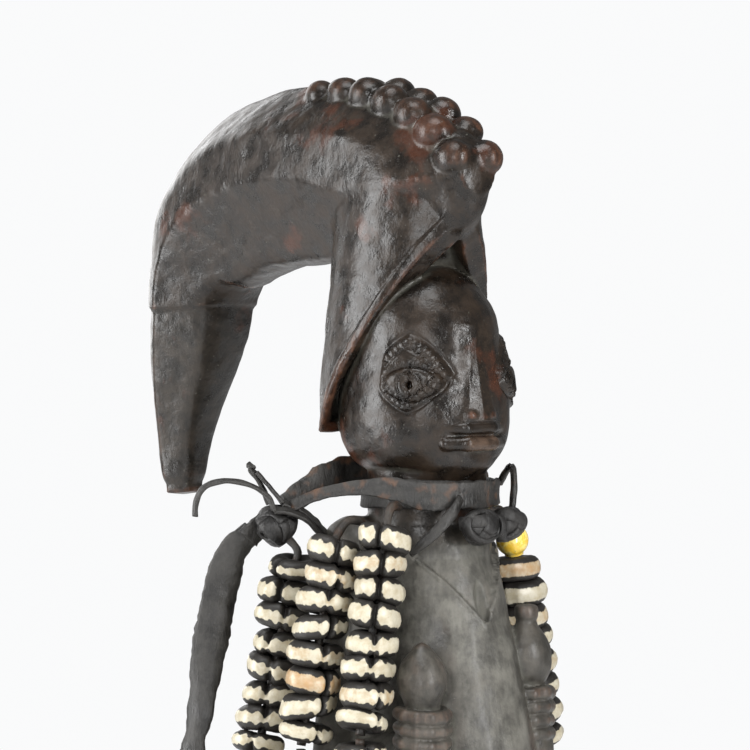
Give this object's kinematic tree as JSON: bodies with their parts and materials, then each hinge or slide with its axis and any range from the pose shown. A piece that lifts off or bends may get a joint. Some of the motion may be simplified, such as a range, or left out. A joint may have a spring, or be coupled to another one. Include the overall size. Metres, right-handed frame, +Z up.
{
  "type": "carved dance hook figure",
  "caption": "Carved hardwood kneeling figure with a hooked coiffure, a leather thong at the neck and hanging strings of cut cowrie shells.",
  "frame": {"origin": "underside of the round base, straight below the neck's axis", "axes": "+Z up, the figure looks along -Y, its right hand is on the -X side"},
  "size_m": [0.1274, 0.1815, 0.3648],
  "materials": {
    "wood": "dark oiled patina, polished on the ridges, dusty in the hollows",
    "leather": "dry blackened hide strips",
    "thong": "narrow blackened hide lace",
    "shell": "cream cowrie shell with black dye in the hollows",
    "bead": "opaque yellow glass"
  },
  "bodies": {
    "root": {"carved_figure": "wood", "neck_band_inner": "leather", "neck_band_loose_turn": "leather", "shoulder_knot": "leather", "throat_knot_near": "leather", "throat_knot_far": "leather", "throat_tail": "leather", "throat_loop": "leather", "shoulder_tail_long": "leather", "shoulder_tail_short": "leather", "hanging_strap": "leather"},
    "right_front_upper": {"right_front_lace_upper": "thong", "right_front_shells_1": "shell", "right_front_shells_2": "shell"},
    "right_front_lower": {"right_front_lace_lower": "thong", "right_front_shells_3": "shell", "right_front_shells_4": "shell", "right_front_end_knot": "thong"},
    "right_middle_upper": {"right_middle_lace_upper": "thong", "right_middle_shells_1": "shell", "right_middle_shells_2": "shell"},
    "right_middle_lower": {"right_middle_lace_lower": "thong", "right_middle_shells_3": "shell", "right_middle_shells_4": "shell", "right_middle_end_knot": "thong"},
    "right_back_upper": {"right_back_lace_upper": "thong", "right_back_shells_1": "shell", "right_back_shells_2": "shell"},
    "right_back_lower": {"right_back_lace_lower": "thong", "right_back_shells_3": "shell", "right_back_shells_4": "shell", "right_back_end_knot": "thong"},
    "left_front_upper": {"left_front_lace_upper": "thong", "left_front_bead": "bead", "left_front_shells_1": "shell", "left_front_shells_2": "shell"},
    "left_front_lower": {"left_front_lace_lower": "thong", "left_front_shells_3": "shell", "left_front_shells_4": "shell", "left_front_end_knot": "thong"},
    "left_middle_upper": {"left_middle_lace_upper": "thong", "left_middle_shells_1": "shell", "left_middle_shells_2": "shell"},
    "left_middle_lower": {"left_middle_lace_lower": "thong", "left_middle_shells_3": "shell", "left_middle_shells_4": "shell", "left_middle_end_knot": "thong"},
    "left_back_upper": {"left_back_lace_upper": "thong", "left_back_shells_1": "shell", "left_back_shells_2": "shell"},
    "left_back_lower": {"left_back_lace_lower": "thong", "left_back_shells_3": "shell", "left_back_shells_4": "shell", "left_back_end_knot": "thong"}
  },
  "joints": [
    {"name": "right_front_swing", "type": "hinge", "parent": "root", "child": "right_front_upper", "pos_m": [-0.01953, -0.01271, 0.2385], "axis": [-0.2588, 0.9659, 0], "range_deg": [0, 50]},
    {"name": "right_front_bend", "type": "hinge", "parent": "right_front_upper", "child": "right_front_lower", "pos_m": [-0.03983, -0.02145, 0.17362], "axis": [-0.2588, 0.9659, 0], "range_deg": [0, 24]},
    {"name": "right_middle_swing", "type": "hinge", "parent": "root", "child": "right_middle_upper", "pos_m": [-0.02535, -0.00356, 0.234], "axis": [0.0698, 0.9976, 0], "range_deg": [0, 50]},
    {"name": "right_middle_bend", "type": "hinge", "parent": "right_middle_upper", "child": "right_middle_lower", "pos_m": [-0.0483, -0.00425, 0.16962], "axis": [0.0698, 0.9976, 0], "range_deg": [0, 24]},
    {"name": "right_back_swing", "type": "hinge", "parent": "root", "child": "right_back_upper", "pos_m": [-0.03843, 0.01179, 0.228], "axis": [0.3746, 0.9272, 0], "range_deg": [0, 20]},
    {"name": "right_back_bend", "type": "hinge", "parent": "right_back_upper", "child": "right_back_lower", "pos_m": [-0.04964, 0.01631, 0.16412], "axis": [0.3746, 0.9272, 0], "range_deg": [0, 24]},
    {"name": "left_front_swing", "type": "hinge", "parent": "root", "child": "left_front_upper", "pos_m": [0.02313, 0.00282, 0.2345], "axis": [0.1736, -0.9848, 0], "range_deg": [0, 50]},
    {"name": "left_front_bend", "type": "hinge", "parent": "left_front_upper", "child": "left_front_lower", "pos_m": [0.04803, 0.0066, 0.1607], "axis": [0.1736, -0.9848, 0], "range_deg": [0, 24]},
    {"name": "left_middle_swing", "type": "hinge", "parent": "root", "child": "left_middle_upper", "pos_m": [0.01976, 0.01235, 0.2355], "axis": [0.4695, -0.8829, 0], "range_deg": [0, 50]},
    {"name": "left_middle_bend", "type": "hinge", "parent": "left_middle_upper", "child": "left_middle_lower", "pos_m": [0.04069, 0.02443, 0.17062], "axis": [0.4695, -0.8829, 0], "range_deg": [0, 24]},
    {"name": "left_back_swing", "type": "hinge", "parent": "root", "child": "left_back_upper", "pos_m": [0.01267, 0.01955, 0.2355], "axis": [0.7193, -0.6947, 0], "range_deg": [0, 50]},
    {"name": "left_back_bend", "type": "hinge", "parent": "left_back_upper", "child": "left_back_lower", "pos_m": [0.02765, 0.0384, 0.17062], "axis": [0.7193, -0.6947, 0], "range_deg": [0, 24]}
  ]
}
